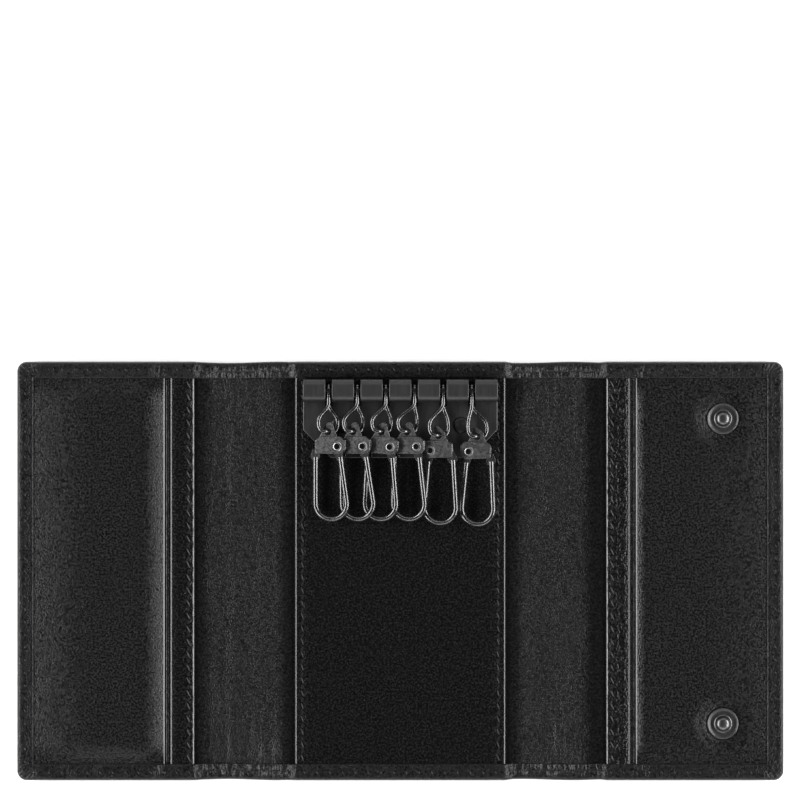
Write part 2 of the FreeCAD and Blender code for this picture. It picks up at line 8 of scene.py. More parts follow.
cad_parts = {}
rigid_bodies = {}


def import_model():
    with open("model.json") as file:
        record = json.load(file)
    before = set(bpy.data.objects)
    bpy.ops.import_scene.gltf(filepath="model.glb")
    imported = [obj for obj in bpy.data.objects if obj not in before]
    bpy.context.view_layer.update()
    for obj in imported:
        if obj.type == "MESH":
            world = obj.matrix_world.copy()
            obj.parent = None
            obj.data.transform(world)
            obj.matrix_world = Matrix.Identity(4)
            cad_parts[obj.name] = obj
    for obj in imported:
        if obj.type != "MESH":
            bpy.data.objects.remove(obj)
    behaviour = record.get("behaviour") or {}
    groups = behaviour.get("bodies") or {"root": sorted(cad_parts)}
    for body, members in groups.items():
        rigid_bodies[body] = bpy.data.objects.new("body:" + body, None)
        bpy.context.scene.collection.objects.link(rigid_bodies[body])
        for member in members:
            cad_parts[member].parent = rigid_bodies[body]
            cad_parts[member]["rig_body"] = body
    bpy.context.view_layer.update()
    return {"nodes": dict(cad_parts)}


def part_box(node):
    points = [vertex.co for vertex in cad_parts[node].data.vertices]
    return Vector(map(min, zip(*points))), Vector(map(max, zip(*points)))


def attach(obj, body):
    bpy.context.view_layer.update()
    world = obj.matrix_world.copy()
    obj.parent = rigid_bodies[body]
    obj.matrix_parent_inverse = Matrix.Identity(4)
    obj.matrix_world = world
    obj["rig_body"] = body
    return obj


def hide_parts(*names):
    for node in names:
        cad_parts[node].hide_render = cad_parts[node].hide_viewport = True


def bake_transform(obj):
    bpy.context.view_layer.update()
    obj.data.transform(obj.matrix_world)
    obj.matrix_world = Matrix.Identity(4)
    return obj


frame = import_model()


# Outer cover: one skin of black calf leather whose edge is turned over on all four sides.
# It is modelled in four lengths that meet in the two gussets.
# The turned hem stands above the panels, dips where it crosses the gussets, and pleats at the corners.
mm = 0.001
stand = 1.9
half_length, half_depth = 100.6, 55.0
hem_width, corner_radius = 4.4, 2.6
cover_sheet, hem_low, hem_high = 1.0, 2.4, 3.2
gusset_in, gusset_out = 27.7, 54.0
left_join, right_join = -39.0, 41.0
folds = {"left_flap": -46.0, "left_spine": -32.0, "right_spine": 31.5, "right_flap": 50.8}
fold_reach, gusset_lead, gusset_settle = 3.0, 0.6, 2.0
hem_rings = (0.0, 0.1, 0.25, 0.45, 0.7, 1.0, 1.3, 1.6, 1.9, 2.2, 2.5, 2.8, 3.1, 3.4, 3.7, 4.0,
             4.2, 4.33, 4.4, 4.46, 4.8)
hem_fullness, hem_inner_fall, hem_outer_fall = 0.10, 0.42, 0.10
crest_inner, crest_outer, hem_end = 1.6, 1.8, hem_width + 0.03
hem_swells = ((0.10, 3.4, 3.0), (0.04, 1.1, 5.0))
mouth_middle, mouth_spread, mouth_swell, mouth_crumple = 63.0, 1.5, 0.12, 0.4
crumple_width, crumple_length, left_gather, right_gather = 0.7, 6.0, 0.6, 0.45
crumple_from, crumple_full = 0.7, 1.5
crease_inset, crease_width, crease_depth = 2.7, 0.3, 0.16
pleat_start, pleats_per_radian, pleat_curl, pleat_drift, pleat_height = 1.6, 36, 0.5, 2.0, 0.15
pleat_from, pleat_full = 1.0, 3.6
edge_round, edge_middle, lip_width, lip_drop = 0.75, 1.45, 0.3, 0.3
back_round, back_swell, back_swell_width, back_flat = 0.95, 0.05, 9.0, 6.0
wave_depth, wave_swing, wave_length, wave_reach = 0.2, 0.16, 4.1, 9.0
edge_bead = 0.55
cover_column, cover_row, plain_from = 0.3, 1.0, 5.2


def ease(value, low, high):
    share = min(1.0, max(0.0, (value - low) / (high - low)))
    return share * share * (3 - 2 * share)


def spread(start, end, step, *close):
    count = max(1, round((end - start) / step))
    even = [start + (end - start) * i / count for i in range(count + 1)]
    free = [p for p in even if all(abs(p - c) > 0.35 * step for c in close)]
    return sorted({start, end, *free, *(c for c in close if start <= c <= end)})


def ripple(x, y, wide, long, seed):
    return noise.noise(Vector((x / wide, y / long, seed)))


def hump(away, width):
    return math.exp(-(away / width) ** 2)


def quarter_round(inset, radius):
    return math.sqrt(max(0.0, 1 - max(0.0, 1 - inset / radius) ** 2))


def in_gusset(x):
    past_panel = ease(abs(x), gusset_in - gusset_lead, gusset_in + gusset_settle)
    return past_panel * (1 - ease(abs(x), gusset_out - gusset_settle, gusset_out + gusset_lead))


def edge_distance(x, y):
    return min(half_depth - abs(y), half_length - abs(x))


def corner_pleats(x, y):
    side, end = abs(x) - (half_length - hem_width), abs(y) - (half_depth - hem_width)
    if side <= -pleat_start or end <= -pleat_start:
        return 0.0
    turn = math.atan2(end + pleat_start, side + pleat_start)
    phase = turn * pleats_per_radian + pleat_curl * math.hypot(side, end)
    pleat = math.sin(phase + pleat_drift * ripple(x, y, 2.0, 2.0, 1.0))
    return pleat_height * pleat * ease(side + end, pleat_from, pleat_full)


def hem_surface(x, y):
    inset = edge_distance(x, y)
    if inset > hem_end:
        return cover_sheet
    loose = in_gusset(x)
    over_mouth = hump(abs(x) - mouth_middle, mouth_spread)
    level = hem_high + (hem_low - hem_high) * loose + mouth_swell * over_mouth
    level += hem_fullness - hem_inner_fall * ease(inset, crest_inner, hem_width)
    level -= hem_outer_fall * ease(crest_outer - inset, 0.0, crest_outer)
    level += sum(height * ripple(x, y, width, width, seed) for height, width, seed in hem_swells)
    inner_row = ease(inset, crease_inset - 0.2, crease_inset + 0.2)
    crumple = (1 - inner_row) * ripple(x, y, crumple_width, crumple_length, 9.0)
    crumple += inner_row * ripple(x, y, crumple_width, crumple_length, 13.0)
    crease = crease_depth * hump(inset - crease_inset, crease_width)
    gather = right_gather if x > 0 else left_gather
    folded = (gather * loose + mouth_crumple * over_mouth) * crumple - loose * crease
    level += folded * ease(inset, crumple_from, crumple_full) + corner_pleats(x, y)
    level = edge_middle + (level - edge_middle) * quarter_round(inset, edge_round)
    return level - lip_drop * max(0.0, (inset - hem_width + lip_width) / lip_width) ** 2


def back_surface(x, y):
    inset = edge_distance(x, y)
    soft = back_swell * ripple(x, y, back_swell_width, back_swell_width, 11.0)
    return back_round * (1 - quarter_round(inset, back_round)) + abs(soft * ease(inset, 0.0, back_flat))


def at(x, y, height):
    side, end = abs(x) - (half_length - corner_radius), abs(y) - (half_depth - corner_radius)
    if side > 0 and end > 0:
        pull = 1 - max(side, end) / math.hypot(side, end)
        x -= math.copysign(side * pull, x)
        y -= math.copysign(end * pull, y)
    wave = in_gusset(x) * (wave_depth + wave_swing * math.sin(x / wave_length))
    wave *= ease(abs(y), half_depth - wave_reach, half_depth)
    return Vector((x, y - math.copysign(wave, y), height + stand)) * mm


def show(name, bm, materials, smooth_to=50):
    mesh = bpy.data.meshes.new(name)
    bm.to_mesh(mesh)
    bm.free()
    mesh.shade_smooth()
    mesh.set_sharp_from_angle(angle=math.radians(smooth_to))
    for material in materials:
        mesh.materials.append(material)
    piece = bpy.data.objects.new(name, mesh)
    bpy.context.scene.collection.objects.link(piece)
    return piece


def lay_leather(name, xs, ys, top, under, materials, painted=()):
    bm = bmesh.new()
    bmesh.ops.create_grid(bm, x_segments=len(xs) - 1, y_segments=len(ys) - 1, size=1)
    for vert in bm.verts:
        vert.co.x = xs[round((vert.co.x + 1) / 2 * (len(xs) - 1))]
        vert.co.y = ys[round((vert.co.y + 1) / 2 * (len(ys) - 1))]
    back = bm.verts[:]
    front = bmesh.ops.extrude_face_region(bm, geom=bm.faces[:])["geom"]
    for face in bm.faces:
        middle = face.calc_center_median()
        face.material_index = int(any(abs(middle.x - edge) < edge_bead for edge in painted))
    for verts, height in ((back, under), (front, top)):
        for vert in verts:
            if isinstance(vert, bmesh.types.BMVert):
                vert.co = at(vert.co.x, vert.co.y, height(vert.co.x, vert.co.y))
    bmesh.ops.recalc_face_normals(bm, faces=bm.faces[:])
    return show(name, bm, materials)


def across_fold(piece):
    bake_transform(piece)


def tint(code):
    parts = [int(code[i:i + 2], 16) / 255 for i in (1, 3, 5)]
    return tuple(p / 12.92 if p <= 0.04045 else ((p + 0.055) / 1.055) ** 2.4 for p in parts) + (1.0,)


def node(material, kind, sockets=None, **settings):
    made = material.node_tree.nodes.new("ShaderNode" + kind)
    for word, value in settings.items():
        setattr(made, word, value)
    for socket, value in (sockets or {}).items():
        if isinstance(value, bpy.types.NodeSocket):
            material.node_tree.links.new(value, made.inputs[socket])
        else:
            made.inputs[socket].default_value = value
    return made


def new_material(name, **sockets):
    material = bpy.data.materials.new(name)
    material.use_nodes = True
    shader = material.node_tree.nodes["Principled BSDF"]
    for socket, value in sockets.items():
        shader.inputs[socket.replace("_", " ")].default_value = value
    return material, shader


def plug_in(material, shader, **sources):
    for socket, source in sources.items():
        material.node_tree.links.new(source, shader.inputs[socket.replace("_", " ")])


# Aniline-finished calf leather: close pebbled grain with creases between the pebbles and fine pores.
# The eye gets a deep black with a broad soft gloss that breaks into small sparks wherever it curves.
# Flecks of wear are drawn about half a millimetre wide, coarser than real ones, so that they show.
def calf_leather(name, deep, worn, pebble, stretch, gloss, relief):
    drift_width, drift_reach, fleck = 3.1 * pebble, 0.15, 1.4 * pebble
    material, shader = new_material(name, Specular_IOR_Level=0.32, IOR=1.46)
    place = node(material, "TexCoord").outputs["Object"]
    drift = node(material, "TexNoise", {
        "Vector": place, "Scale": 1 / (drift_width * mm), "Detail": 2.0})
    bent = node(material, "MixRGB", {
        "Fac": drift_reach * mm, "Color1": place, "Color2": drift.outputs["Color"]}, blend_type="ADD")
    grid = node(material, "Mapping", {
        "Vector": bent.outputs["Color"], "Scale": tuple(1 / (s * pebble * mm) for s in stretch)})
    cells = node(material, "TexVoronoi", {
        "Vector": grid.outputs["Vector"], "Scale": 1.0, "Smoothness": 0.25}, feature="SMOOTH_F1")
    pores = node(material, "TexNoise", {"Vector": grid.outputs["Vector"], "Scale": 2.3, "Detail": 3.0})
    wear = node(material, "TexNoise", {
        "Vector": place, "Scale": 1 / (fleck * mm), "Detail": 3.0, "Roughness": 0.6}, name="wear")
    domes = node(material, "MapRange", {
        "Value": cells.outputs["Distance"], "From Min": 0.15, "From Max": 0.75, "To Min": 1.0, "To Max": 0.0})
    height = node(material, "Math", {
        0: pores.outputs["Fac"], 1: 0.5, 2: domes.outputs["Result"]}, operation="MULTIPLY_ADD")
    bump = node(material, "Bump", {
        "Height": height.outputs["Value"], "Strength": 1.0, "Distance": relief * mm})
    patina = node(material, "MapRange", {"Value": wear.outputs["Fac"], "From Min": 0.3, "From Max": 0.7})
    colour = node(material, "MixRGB", {
        "Fac": patina.outputs["Result"], "Color1": tint(deep), "Color2": tint(worn)})
    plug_in(material, shader, Base_Color=colour.outputs["Color"], Normal=bump.outputs["Normal"])
    if gloss:
        rough = node(material, "MapRange", {
            "Value": wear.outputs["Fac"], "From Min": 0.3, "From Max": 0.7,
            "To Min": gloss[0], "To Max": gloss[1]})
        plug_in(material, shader, Roughness=rough.outputs["Result"])
    return material


cover_leather = calf_leather("black_calf_leather", "#030303", "#111111", pebble=0.42,
                             stretch=(0.85, 1.15, 1.0), gloss=(0.22, 0.46), relief=0.062)

cover_rows = sorted({-half_depth + r for r in hem_rings} | {half_depth - r for r in hem_rings}
                    | set(spread(-half_depth + plain_from, half_depth - plain_from, cover_row)))
cover_lengths = (
    ("cover_left_flap", "left_flap", "left_spine", folds["left_flap"], -half_length, left_join),
    ("cover_left_half", "left_spine", "centre", folds["left_spine"], left_join, 0.0),
    ("cover_right_half", "centre", "right_spine", folds["right_spine"], 0.0, right_join),
    ("cover_right_flap", "right_spine", "right_flap", folds["right_flap"], right_join, half_length),
)
for name, first, second, fold, start, end in cover_lengths:
    ends = [-half_length + r for r in hem_rings] if start == -half_length else []
    ends += [half_length - r for r in hem_rings] if end == half_length else []
    cover_columns = spread(start, end, cover_column, *ends)
    cover = lay_leather(name, cover_columns, cover_rows, hem_surface, back_surface, [cover_leather])
    across_fold(cover)
    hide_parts("outer_cover_" + first, "outer_cover_" + second)


# Gusset leather: a thin, soft skin that lines the case and shows in the two gussets and the pocket grooves.
# It lies on the cover with its edges under the hem, and is creased along the folds by use.
lining_sheet = 0.6
lining_top = cover_sheet + lining_sheet
lining_edge = half_depth - hem_width + 0.3
lining_column, lining_row = 0.35, 1.0
groove_middle, groove_half, groove_height, groove_step = 61.08, 0.56, 0.45, 0.14
left_tight, right_tight, tight_reach = 0.3, 2.6, 5.4
slack_from, slack_full, slack_rise = 0.6, 5.0, 0.2
fold_crease, fold_crease_width = 0.12, 1.3
drape_height, drape_width, drape_length = 0.14, 7.0 / 1.5, 7.0 / 0.3
wrinkle_height, wrinkle_width, wrinkle_length = 0.05, 1.1, 2.4
drawn_height, drawn_width, drawn_length, drawn_from, drawn_full = 0.1, 0.9, 4.5, 26.0, 46.0
bulge_x, bulge_y, bulge_width, bulge_depth, bulge_height = -35.0, -47.2, 3.0, 2.4, 0.6


def gusset_slackness(x):
    pulled = gusset_out - (right_tight if x > 0 else left_tight)
    past_panel = ease(abs(x), gusset_in + slack_from, gusset_in + slack_full)
    return past_panel * (1 - ease(abs(x), pulled - tight_reach, pulled))


def gusset_surface(x, y):
    crease = fold_crease * sum(hump(x - fold, fold_crease_width) for fold in folds.values())
    soft = drape_height * ripple(x, y, drape_width, drape_length, 21.0)
    soft += wrinkle_height * ripple(x, y, wrinkle_width, wrinkle_length, 23.0)
    drawn = drawn_height * ripple(x, y, drawn_width, drawn_length, 27.0)
    drawn *= ease(abs(y), drawn_from, drawn_full)
    bulge = bulge_height * hump(x - bulge_x, bulge_width) * hump(y - bulge_y, bulge_depth)
    roll = groove_height * max(0.0, 1 - ((abs(x) - groove_middle) / groove_half) ** 4)
    return lining_top + gusset_slackness(x) * (slack_rise + soft + drawn + bulge - crease) + roll


def lining_under(x, y):
    return cover_sheet


# The same leather, thinner and softer: it is dull where it hangs slack, and flat and dark where it is pulled.
# Its gloss follows the slackness that each length carries as an attribute.
gusset_leather = calf_leather("soft_lining_leather", "#030303", "#121212", pebble=0.40,
                              stretch=(0.7, 1.5, 1.0), gloss=None, relief=0.062)
gusset_slack = node(gusset_leather, "Attribute", attribute_name="slack")
gusset_gloss = node(gusset_leather, "MapRange", {
    "Value": gusset_slack.outputs["Fac"], "To Min": 0.02, "To Max": 0.15})
gusset_wear = node(gusset_leather, "Math", {
    0: gusset_leather.node_tree.nodes["wear"].outputs["Fac"], 1: 0.4, 2: gusset_gloss.outputs["Result"]},
    operation="MULTIPLY_ADD")
gusset_grain = node(gusset_leather, "MapRange", {
    "Value": gusset_slack.outputs["Fac"], "To Min": 0.5, "To Max": 1.0})
plug_in(gusset_leather, gusset_leather.node_tree.nodes["Principled BSDF"],
        Roughness=gusset_wear.outputs["Value"])
plug_in(gusset_leather, gusset_leather.node_tree.nodes["Bump"], Strength=gusset_grain.outputs["Result"])

lining_rows = spread(-lining_edge, lining_edge, lining_row)
lining_lengths = (
    ("lining_left_flap", "left_flap", "left_spine", -64.0, left_join, ["left_flap_lining"]),
    ("lining_left_half", "left_spine", "centre", left_join, -26.0, ["left_spine_gusset", "centre_lining"]),
    ("lining_right_half", "centre", "right_spine", 26.0, right_join,
     ["right_spine_gusset", "centre_lining"]),
    ("lining_right_flap", "right_spine", "right_flap", right_join, 64.0, ["right_flap_lining"]),
)
for (name, first, second, start, end, covered), fold in zip(lining_lengths, folds.values()):
    groove = [math.copysign(groove_middle + groove_step * i, start + end) for i in range(-4, 5)]
    lining_columns = spread(start, end, lining_column, *groove)
    lining = lay_leather(name, lining_columns, lining_rows, gusset_surface, lining_under, [gusset_leather])
    slack = lining.data.attributes.new("slack", "FLOAT", "POINT")
    for vert in lining.data.vertices:
        slack.data[vert.index].value = gusset_slackness(vert.co.x / mm)
    across_fold(lining)
    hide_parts(*covered)


# Panels: smooth firm leather laid on the lining and held under the hem.
# The centre panel is flat with a stitched edge; the pocket panels are crowned and turn over at the mouth.
panel_top, panel_lift, centre_lift = lining_top + 0.8, 0.1, 0.12
panel_half, seam_inset, stitch_pitch = 27.7, 2.0, 3.35
pocket_mouth, pocket_end, pocket_hem_roll = 61.65, 96.5, 16.0
left_crown, right_crown, least_crown = (1.2, 7.2, 1.75), (0.6, 3.4, 0.9), 0.05
crown_from, crown_full, pocket_swell, centre_swell = -1.0, 6.0, 0.05, 0.03
studs = ((84.65, 40.0), (84.65, -40.0))
stud_flat, stud_free = 3.9, 8.0
pucker_radius, pucker_width, pucker_height = 5.2, 0.9, 0.16
bead_slope, least_slope, bead_cut, bead_cut_width = 0.6, 0.05, 0.2, 0.1
pull_width, pull_depth, pull_swing, pull_crumple = 1.1, 0.10, 0.08, 0.12
panel_row, centre_column, pocket_column = 0.55, 1.2, 0.6
edge_lines = (0.0, 0.1, 0.3, 0.55, 0.65, 0.78, 0.94, 1.1, 1.35, 1.6, 1.8, 2.0, 2.2, 2.4, 2.7, 3.0)
# Plated smooth, the centre is the blackest leather; the pockets are milled, with a livelier grain.
panel_leather = calf_leather("smooth_panel_leather", "#020202", "#111111", pebble=0.40,
                             stretch=(0.8, 1.1, 1.0), gloss=(0.11, 0.38), relief=0.050)
pocket_leather = calf_leather("milled_pocket_leather", "#020202", "#191919", pebble=0.40,
                              stretch=(0.8, 1.15, 1.0), gloss=(0.12, 0.42), relief=0.055)

# Acrylic edge paint: it seals the cut leather with a thin bead that has no grain and a clear gloss.
edge_paint, edge_shader = new_material("black_edge_paint", Specular_IOR_Level=0.5)
edge_ripple = node(edge_paint, "TexNoise", {
    "Vector": node(edge_paint, "TexCoord").outputs["Object"], "Scale": 1 / (1.6 * mm), "Detail": 3.0})
edge_gloss = node(edge_paint, "MapRange", {
    "Value": edge_ripple.outputs["Fac"], "To Min": 0.20, "To Max": 0.32})
edge_colour = node(edge_paint, "MixRGB", {
    "Fac": edge_ripple.outputs["Fac"], "Color1": tint("#060606"), "Color2": tint("#121212")})
plug_in(edge_paint, edge_shader, Roughness=edge_gloss.outputs["Result"],
        Base_Color=edge_colour.outputs["Color"])


def painted_edge(inset, slope=bead_slope):
    return slope * max(0.0, edge_bead - inset) + bead_cut * max(0.0, 1 - inset / bead_cut_width)


def rolled_edge(inset, width, drop):
    return drop * max(0.0, 1 - max(0.0, inset) / width) ** 2


def seam_pull(away, y, seed):
    pull = pull_depth + pull_swing * math.cos(2 * math.pi * y / stitch_pitch + seed)
    return hump(away, pull_width) * (pull + pull_crumple * ripple(away, y, 0.7, 1.1, seed))


def centre_surface(x, y):
    inset = panel_half - abs(x)
    level = panel_top + centre_lift - painted_edge(inset) - seam_pull(inset - seam_inset, y, 41.0)
    return level + centre_swell * ripple(x, y, 12.0, 12.0, 31.0)


def pocket_surface(x, y):
    inset, far = abs(x) - pocket_mouth, half_length - hem_width - abs(x)
    ends = ease(half_depth - hem_width - abs(y), crown_from, crown_full)
    full, roll, drop = left_crown if x < 0 else right_crown
    crown = full - rolled_edge(inset, roll, drop) - rolled_edge(far, pocket_hem_roll, full - least_crown)
    crown = crown * ends + pocket_swell * ripple(x, y, 8.0, 8.0, 33.0)
    pucker = 0.0
    if x > 0:
        for stud_x, stud_y in studs:
            away = math.hypot(x - stud_x, y - stud_y)
            crown *= ease(away, stud_flat, stud_free)
            pucker += pucker_height * hump(away - pucker_radius, pucker_width)
    slope = max(least_slope, bead_slope - ends * 2 * drop / roll)
    return panel_top + panel_lift + crown + pucker - painted_edge(inset, slope)


def panel_under(x, y):
    return lining_top - 0.02


panel_rows = spread(-lining_edge, lining_edge, panel_row)
centre_edges = [s * (panel_half - e) for e in edge_lines for s in (-1, 1)]
centre_columns = spread(-panel_half, panel_half, centre_column, *centre_edges)
centre_panel = lay_leather("centre_panel_leather", centre_columns, panel_rows, centre_surface, panel_under,
                           [panel_leather, edge_paint], (-panel_half, panel_half))
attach(centre_panel, "centre")
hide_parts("centre_panel")
for side, sign in (("left", -1), ("right", 1)):
    mouth, end = sorted((sign * pocket_mouth, sign * pocket_end))
    mouth_lines = [sign * (pocket_mouth + e) for e in edge_lines]
    pocket_columns = spread(mouth, end, pocket_column, *mouth_lines)
    pocket = lay_leather(side + "_pocket_leather", pocket_columns, panel_rows, pocket_surface, panel_under,
                         [pocket_leather, edge_paint], (sign * pocket_mouth,))
    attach(pocket, side + "_flap")
    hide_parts(side + "_pocket_panel")


# Pocket bindings: a narrow folded strip of the panel leather beside each pocket mouth.
# Both its edges are turned and rounded, and one slanted seam holds it to the lining.
binding_inner, binding_outer, binding_seam = 54.0, 60.5, 55.6
left_wear, right_wear = (0.03, 0.1), (0.15, 0.25)
wear_width, wear_length = 0.45, 0.7
binding_column, binding_row = 0.2, 0.3


def binding_surface(x, y):
    inset, far = abs(x) - binding_inner, binding_outer - abs(x)
    worn, full = left_wear if x < 0 else right_wear
    crown = full * ease(inset, 2.2, 4.5) * ease(far, 0.0, 2.0)
    grain = worn * ripple(x, y, wear_width, wear_length, 51.0)
    crown += grain * ease(inset, 1.4, 2.8) * ease(far, 0.6, 1.4)
    level = panel_top + panel_lift + crown - seam_pull(abs(x) - binding_seam, y, 43.0)
    return level - painted_edge(inset) - painted_edge(far)


binding_rows = spread(-lining_edge, lining_edge, binding_row)
for side, sign in (("left", -1), ("right", 1)):
    edges = (sign * binding_inner, sign * binding_outer)
    inner_lines = [sign * (binding_inner + e) for e in edge_lines]
    outer_lines = [sign * (binding_outer - e) for e in edge_lines[:8]]
    binding_columns = spread(*sorted(edges), binding_column, *inner_lines, *outer_lines)
    binding = lay_leather(side + "_binding_leather", binding_columns, binding_rows, binding_surface,
                          panel_under, [panel_leather, edge_paint], edges)
    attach(binding, side + "_flap")
    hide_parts(side + "_pocket_binding")


# Sewing thread: black bonded polyester, laid as slanted stitches in a shallow groove.
# It holds the centre panel, the bindings and the turned hem, and shows as small glossy ribs.
thread_height, thread_twist_width = 0.34, 0.35
slit_lean = math.radians(72)
slit_length, slit_width, slit_height = 0.75, 0.36, 0.09
panel_lean, binding_lean, hem_lean = math.radians(108), math.radians(116), math.radians(120)
seam_end, hem_seam_end, hem_seam = 49.0, 50.0, 2.1
clear_of_corner, clear_of_join = 3.0, 1.3
thread, thread_shader = new_material("bonded_black_thread", Roughness=0.42)
thread_turn = node(thread, "Mapping", {
    "Vector": node(thread, "TexCoord").outputs["Object"], "Rotation": (0.0, 0.0, math.radians(50))})
thread_twist = node(thread, "TexWave", {
    "Vector": thread_turn.outputs["Vector"], "Scale": 0.3 / (thread_twist_width * mm), "Distortion": 1.0})
thread_bump = node(thread, "Bump", {
    "Height": thread_twist.outputs["Fac"], "Strength": 0.4, "Distance": 0.05 * mm})
# The ridges of the twist are coloured lighter than its grooves: a painted sheen along the plies of a black
# thread.
twist_sheen_colour = node(thread, "MixRGB", {
    "Fac": thread_twist.outputs["Fac"], "Color1": tint("#0c0c0c"), "Color2": tint("#202020")})
plug_in(thread, thread_shader, Normal=thread_bump.outputs["Normal"],
        Base_Color=twist_sheen_colour.outputs["Color"])
# Slits that the needle cuts: matt leather, coloured darker than the grain side as painted shade for the
# holes.
hole_shade_leather = calf_leather("painted_hole_shade_leather", "#020202", "#040404", pebble=0.4,
                           stretch=(1.0, 1.0, 1.0), gloss=(0.75, 0.9), relief=0.03)


def sew(name, places, surface, length, width, sunk, slits=()):
    bm = bmesh.new()
    size = Matrix.Diagonal((length / 2 * mm, width / 2 * mm, thread_height * mm, 1.0))
    for x, y, along in places:
        spot = Matrix.Translation(at(x, y, surface(x, y) - sunk)) @ Matrix.Rotation(along, 4, "Z")
        bmesh.ops.create_uvsphere(bm, u_segments=8, v_segments=5, radius=1.0,
                                  matrix=spot @ size @ Matrix.Rotation(math.pi / 2, 4, "Y"))
    # Each slit is a small matt patch coloured darker than the grain: painted shade standing for the needle
    # hole.
    slit_size = Matrix.Diagonal((slit_length * mm, slit_width * mm, slit_height * mm, 1.0))
    for x, y in slits:
        spot = Matrix.Translation(at(x, y, surface(x, y))) @ Matrix.Rotation(slit_lean, 4, "Z")
        made = bmesh.ops.create_icosphere(bm, subdivisions=1, radius=1.0, matrix=spot @ slit_size)
        for face in {face for vert in made["verts"] for face in vert.link_faces}:
            face.material_index = 1
    return show(name, bm, [thread, hole_shade_leather])


seam_rows = spread(-seam_end, seam_end, stitch_pitch)
hole_rows = [y + stitch_pitch / 2 for y in seam_rows[:-1]]
centre_lines = [s * (panel_half - seam_inset) for s in (-1, 1)]
centre_seam = sew("centre_panel_stitches", [(x, y, panel_lean) for x in centre_lines for y in seam_rows],
                  centre_surface, length=2.2, width=0.42, sunk=0.1,
                  slits=[(x, y) for x in centre_lines for y in hole_rows])
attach(centre_seam, "centre")
for side, sign in (("left", -1), ("right", 1)):
    binding_stitches = sew(side + "_binding_stitches",
                           [(sign * binding_seam, y, binding_lean) for y in seam_rows],
                           binding_surface, length=2.2, width=0.5, sunk=0.08,
                           slits=[(sign * binding_seam, y) for y in hole_rows])
    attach(binding_stitches, side + "_flap")
end_x, end_rows = half_length - hem_seam, spread(-hem_seam_end, hem_seam_end, stitch_pitch)
hem_places = spread(-end_x + clear_of_corner, end_x - clear_of_corner, stitch_pitch)
for name, first, second, fold, start, end in cover_lengths:
    along = [x for x in hem_places if start + clear_of_join < x < end - clear_of_join]
    places = [(x, s * (half_depth - hem_seam), hem_lean) for x in along for s in (-1, 1)]
    if start == -half_length:
        places += [(-end_x, y, hem_lean) for y in end_rows]
    if end == half_length:
        places += [(end_x, y, hem_lean) for y in end_rows]
    stitches = sew(name + "_stitches", places, hem_surface, length=1.1, width=0.45, sunk=0.23)
    across_fold(stitches)


# Snap fasteners: turned and pressed brass plated with dark nickel.
# The studs are riveted through the right flap to caps outside, the sockets through the left flap to eyelets.
stud_profile = ((0.0, 4.8), (0.6, 4.77), (1.1, 4.66), (1.48, 4.46), (1.74, 4.16), (1.86, 3.84), (1.9, 3.68),
                (1.96, 3.66), (2.04, 3.7), (2.1, 3.62), (2.1, 3.45), (2.04, 3.1), (2.15, 2.86), (2.4, 2.78),
                (3.0, 2.8), (3.6, 2.86), (3.72, 2.96), (3.84, 3.08), (3.94, 3.08), (4.04, 2.98), (4.1, 2.8),
                (4.1, 2.4), (0.0, 2.4))
stud_steps, cap_edge = 56, 0.1
merge_within, flat_within, sharp_over = 0.002, math.radians(0.5), math.radians(40)


# Plated metal: hazy patches of tarnish, and fine lines left by brushing or tumbling.
# The eye gets a grey mirror that is a little blurred, with lights drawn out along those lines.
def metal_finish(name, dark, light, rough, grain, scratch, cloud=2.5):
    material, shader = new_material(name, Metallic=1.0)
    place = node(material, "TexCoord").outputs["Object"]
    haze = node(material, "TexNoise", {"Vector": place, "Scale": 1 / (cloud * mm), "Detail": 4.0})
    lines = node(material, "Mapping", {"Vector": place, "Scale": tuple(1 / (g * mm) for g in grain)})
    brush = node(material, "TexNoise", {"Vector": lines.outputs["Vector"], "Scale": 1.0, "Detail": 3.0})
    colour = node(material, "MixRGB", {
        "Fac": haze.outputs["Fac"], "Color1": tint(dark), "Color2": tint(light)})
    gloss = node(material, "MapRange", {
        "Value": brush.outputs["Fac"], "From Min": 0.3, "From Max": 0.7,
        "To Min": rough[0], "To Max": rough[1]})
    bump = node(material, "Bump", {
        "Height": brush.outputs["Fac"], "Strength": scratch, "Distance": 0.02 * mm})
    plug_in(material, shader, Base_Color=colour.outputs["Color"], Roughness=gloss.outputs["Result"],
            Normal=bump.outputs["Normal"])
    return material


def finish_metal(part, edge, materials, smooth_to=40, chosen=None, shape=None):
    bm = bmesh.new()
    bm.from_mesh(frame["nodes"][part].data)
    bmesh.ops.remove_doubles(bm, verts=bm.verts[:], dist=merge_within * mm)
    if edge:
        bmesh.ops.dissolve_limit(bm, angle_limit=flat_within, verts=bm.verts[:], edges=bm.edges[:])
    if shape:
        shape(bm)
    sharp = [e for e in bm.edges if edge and e.is_manifold and e.calc_face_angle() > sharp_over
             and (chosen is None or chosen(e))]
    bmesh.ops.bevel(bm, geom=sharp, offset=edge * mm, offset_type="OFFSET", segments=2, profile=0.5,
                    affect="EDGES", clamp_overlap=chosen is None, material=-1)
    piece = show(part + "_plated", bm, materials, smooth_to)
    even = piece.modifiers.new("even_faces", "WEIGHTED_NORMAL")
    even.keep_sharp = True
    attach(piece, frame["nodes"][part]["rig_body"])
    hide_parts(part)


